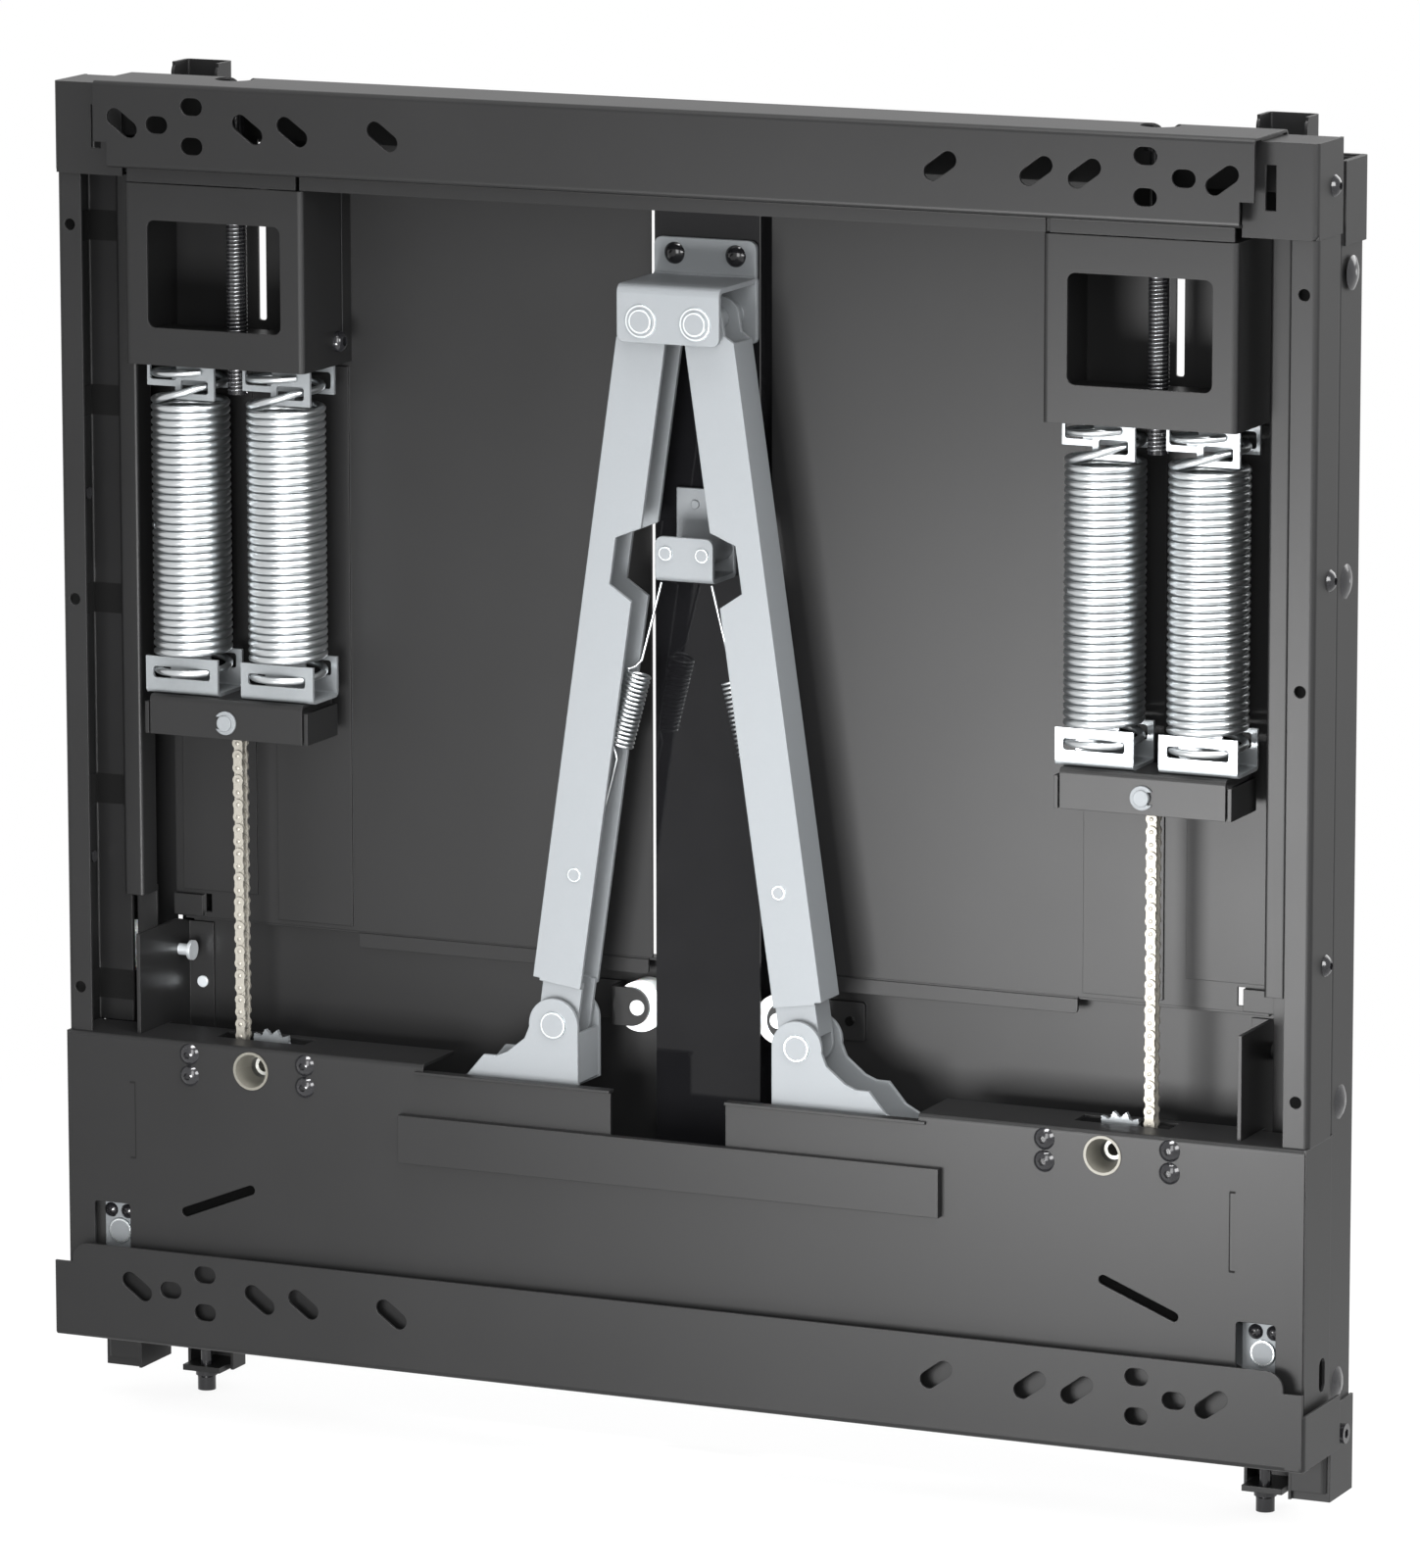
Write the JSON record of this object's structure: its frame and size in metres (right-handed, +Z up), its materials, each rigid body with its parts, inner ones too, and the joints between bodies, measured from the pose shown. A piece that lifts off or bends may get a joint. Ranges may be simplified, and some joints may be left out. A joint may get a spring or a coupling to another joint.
{
  "type": "height_adjustable_tv_mount",
  "caption": "Wall-mounted tv lift: a spring-balanced steel carriage with slotted display beams rides up a wall frame, steadied by folding zinc arms.",
  "frame": {"origin": "on the wall plane, at the centre of the four wall bolts", "axes": "X across the mount, to the right seen from the front; Y towards the wall; Z up, along the lift"},
  "size_m": [0.6894, 0.0965, 0.6944],
  "materials": {
    "charcoal_paint": "satin",
    "gloss_black": "gloss",
    "zinc_plate": "satin",
    "spring_steel": "bright",
    "nickel_chain": "bright",
    "black_screws": "gloss",
    "white_nylon": "satin"
  },
  "bodies": {
    "wall_frame": {"wall_rails": "charcoal_paint", "levelling_bolts": "zinc_plate", "side_channel_left": "charcoal_paint", "side_channel_right": "charcoal_paint", "top_cross_member": "charcoal_paint", "bottom_cross_member": "charcoal_paint", "centre_profile": "gloss_black", "corner_feet": "charcoal_paint", "foot_screws": "black_screws", "side_caps": "black_screws", "top_bracket": "zinc_plate", "top_bracket_screws": "black_screws", "stop_bracket": "zinc_plate", "arm_spring_left": "spring_steel", "arm_spring_right": "spring_steel"},
    "carriage": {"top_beam": "charcoal_paint", "bottom_beam": "charcoal_paint", "beam_ends": "charcoal_paint", "column_left": "charcoal_paint", "column_right": "charcoal_paint", "inner_rails": "charcoal_paint", "back_plate_left": "charcoal_paint", "back_plate_right": "charcoal_paint", "lower_back_panels": "charcoal_paint", "bottom_panel": "charcoal_paint", "panel_cover": "charcoal_paint", "spring_box_left": "charcoal_paint", "spring_box_right": "charcoal_paint", "sprocket_carriers": "zinc_plate", "panel_screws": "black_screws", "side_screws": "black_screws", "pivot_plates": "zinc_plate", "pivot_screws": "black_screws", "guide_plates": "charcoal_paint"},
    "upper_arm_right_body": {"upper_arm_right": "zinc_plate"},
    "lower_arm_right_body": {"lower_arm_right": "zinc_plate"},
    "yoke_right_body": {"yoke_right": "charcoal_paint", "yoke_pin_right": "zinc_plate", "lower_clips_right": "zinc_plate", "chain_right": "nickel_chain", "coil_springs_right": "spring_steel"},
    "sprocket_right_body": {"sprocket_right": "nickel_chain"},
    "hanger_right_body": {"spring_hanger_right": "charcoal_paint", "upper_clips_right": "zinc_plate"},
    "spindle_right_body": {"spindle_right": "black_screws"},
    "guide_roller_right_body": {"guide_roller_right": "white_nylon"},
    "side_roller_right_body": {"side_roller_right": "white_nylon"},
    "upper_arm_left_body": {"upper_arm_left": "zinc_plate"},
    "lower_arm_left_body": {"lower_arm_left": "zinc_plate"},
    "yoke_left_body": {"yoke_left": "charcoal_paint", "yoke_pin_left": "zinc_plate", "lower_clips_left": "zinc_plate", "chain_left": "nickel_chain", "coil_springs_left": "spring_steel"},
    "sprocket_left_body": {"sprocket_left": "nickel_chain"},
    "hanger_left_body": {"spring_hanger_left": "charcoal_paint", "upper_clips_left": "zinc_plate"},
    "spindle_left_body": {"spindle_left": "black_screws"},
    "guide_roller_left_body": {"guide_roller_left": "white_nylon"},
    "side_roller_left_body": {"side_roller_left": "white_nylon"}
  },
  "joints": [
    {"name": "lift", "type": "slide", "parent": "wall_frame", "child": "carriage", "axis": [0, 0, 1], "range_m": [0, 0.4]},
    {"name": "upper_arm_right_swing", "type": "hinge", "parent": "wall_frame", "child": "upper_arm_right_body", "pos_m": [0.0147, -0.065, 0.2139], "axis": [0, -1, 0], "range_deg": [0, 17]},
    {"name": "lower_arm_right_swing", "type": "hinge", "parent": "carriage", "child": "lower_arm_right_body", "pos_m": [0.315, -0.065, -0.2764], "axis": [0, -1, 0], "range_deg": [0, 86.4]},
    {"name": "yoke_right_travel", "type": "slide", "parent": "carriage", "child": "yoke_right_body", "axis": [0, 0, 1], "range_m": [0, 0.0062], "deforming": ["coil_springs_right"]},
    {"name": "sprocket_right_turn", "type": "hinge", "parent": "carriage", "child": "sprocket_right_body", "pos_m": [0.23372, -0.0625, -0.1832], "axis": [0, -1, 0], "range_deg": [0, 21.5]},
    {"name": "hanger_right_travel", "type": "slide", "parent": "carriage", "child": "hanger_right_body", "axis": [0, 0, 1], "range_m": [0, 0.03]},
    {"name": "spindle_right_turn", "type": "hinge", "parent": "carriage", "child": "spindle_right_body", "pos_m": [0.25, -0.061, 0.25], "axis": [0, 0, 1], "range_deg": [0, 5401]},
    {"name": "guide_roller_right_turn", "type": "hinge", "parent": "carriage", "child": "guide_roller_right_body", "pos_m": [0.0387, -0.029, -0.1424], "axis": [0, -1, 0], "range_deg": [0, 1780]},
    {"name": "side_roller_right_turn", "type": "hinge", "parent": "carriage", "child": "side_roller_right_body", "pos_m": [0.328, -0.0345, -0.135], "axis": [-1, 0, 0], "range_deg": [0, 1764]},
    {"name": "upper_arm_left_swing", "type": "hinge", "parent": "wall_frame", "child": "upper_arm_left_body", "pos_m": [-0.0147, -0.065, 0.2139], "axis": [0, 1, 0], "range_deg": [0, 17]},
    {"name": "lower_arm_left_swing", "type": "hinge", "parent": "carriage", "child": "lower_arm_left_body", "pos_m": [-0.315, -0.065, -0.2764], "axis": [0, 1, 0], "range_deg": [0, 86.4]},
    {"name": "yoke_left_travel", "type": "slide", "parent": "carriage", "child": "yoke_left_body", "axis": [0, 0, 1], "range_m": [0, 0.0062], "deforming": ["coil_springs_left"]},
    {"name": "sprocket_left_turn", "type": "hinge", "parent": "carriage", "child": "sprocket_left_body", "pos_m": [-0.23372, -0.0625, -0.1832], "axis": [0, 1, 0], "range_deg": [0, 21.5]},
    {"name": "hanger_left_travel", "type": "slide", "parent": "carriage", "child": "hanger_left_body", "axis": [0, 0, 1], "range_m": [0, 0.03]},
    {"name": "spindle_left_turn", "type": "hinge", "parent": "carriage", "child": "spindle_left_body", "pos_m": [-0.25, -0.061, 0.25], "axis": [0, 0, 1], "range_deg": [0, 5401]},
    {"name": "guide_roller_left_turn", "type": "hinge", "parent": "carriage", "child": "guide_roller_left_body", "pos_m": [-0.0387, -0.029, -0.1424], "axis": [0, 1, 0], "range_deg": [0, 1780]},
    {"name": "side_roller_left_turn", "type": "hinge", "parent": "carriage", "child": "side_roller_left_body", "pos_m": [-0.328, -0.0345, -0.135], "axis": [-1, 0, 0], "range_deg": [0, 1764]}
  ],
  "couplings": [
    {"joint": "upper_arm_right_swing", "follows": "lift", "rad_per_m": 0.7374},
    {"joint": "lower_arm_right_swing", "follows": "lift", "rad_per_m": 3.7655},
    {"joint": "yoke_right_travel", "follows": "lift", "ratio": 0.015},
    {"joint": "sprocket_right_turn", "follows": "lift", "rad_per_m": 0.92764},
    {"joint": "guide_roller_right_turn", "follows": "lift", "rad_per_m": 77.519},
    {"joint": "side_roller_right_turn", "follows": "lift", "rad_per_m": 76.923},
    {"joint": "spindle_right_turn", "follows": "hanger_right_travel", "rad_per_m": 3141.6},
    {"joint": "upper_arm_left_swing", "follows": "lift", "rad_per_m": 0.7374},
    {"joint": "lower_arm_left_swing", "follows": "lift", "rad_per_m": 3.7655},
    {"joint": "yoke_left_travel", "follows": "lift", "ratio": 0.015},
    {"joint": "sprocket_left_turn", "follows": "lift", "rad_per_m": 0.92764},
    {"joint": "guide_roller_left_turn", "follows": "lift", "rad_per_m": 77.519},
    {"joint": "side_roller_left_turn", "follows": "lift", "rad_per_m": 76.923},
    {"joint": "spindle_left_turn", "follows": "hanger_left_travel", "rad_per_m": 3141.6}
  ]
}
